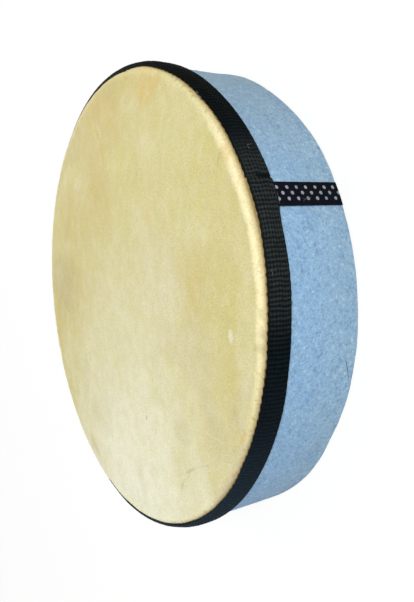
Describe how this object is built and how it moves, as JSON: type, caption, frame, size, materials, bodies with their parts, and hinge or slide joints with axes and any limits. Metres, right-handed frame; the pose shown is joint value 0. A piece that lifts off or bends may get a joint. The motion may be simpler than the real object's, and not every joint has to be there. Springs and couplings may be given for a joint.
{
  "type": "hand drum",
  "caption": "Round frame drum with a skin head over a bent plywood hoop, felt round its side, woven webbing round its rim and a dotted ribbon over its seam, held and struck by hand.",
  "frame": {"origin": "centre of the hoop's open rear edge, on the plane that the drum rests on", "axes": "+Z along the hoop's axis, from the open rear edge to the head; the felt's seam and its ribbon lie 72 degrees from +X towards -Y"},
  "size_m": [0.2568, 0.2568, 0.054],
  "materials": {
    "plywood": "sanded birch",
    "goatskin": "dry scraped rawhide",
    "felt": "light blue craft felt",
    "webbing": "woven black tape",
    "ribbon": "black grosgrain with pale dots",
    "staple_steel": "plain staple wire"
  },
  "bodies": {
    "root": {"shell_inner_ply": "plywood", "shell_core_ply": "plywood", "shell_outer_ply": "plywood", "drum_head": "goatskin", "felt_cover": "felt", "rim_webbing": "webbing", "seam_ribbon": "ribbon", "head_staple_01": "staple_steel", "head_staple_02": "staple_steel", "head_staple_03": "staple_steel", "head_staple_04": "staple_steel", "head_staple_05": "staple_steel", "head_staple_06": "staple_steel", "head_staple_07": "staple_steel", "head_staple_08": "staple_steel", "head_staple_09": "staple_steel", "head_staple_10": "staple_steel", "head_staple_11": "staple_steel", "head_staple_12": "staple_steel", "head_staple_13": "staple_steel", "head_staple_14": "staple_steel", "head_staple_15": "staple_steel", "head_staple_16": "staple_steel", "head_staple_17": "staple_steel", "head_staple_18": "staple_steel", "head_staple_19": "staple_steel", "head_staple_20": "staple_steel", "head_staple_21": "staple_steel", "head_staple_22": "staple_steel", "head_staple_23": "staple_steel", "head_staple_24": "staple_steel"}
  },
  "joints": []
}
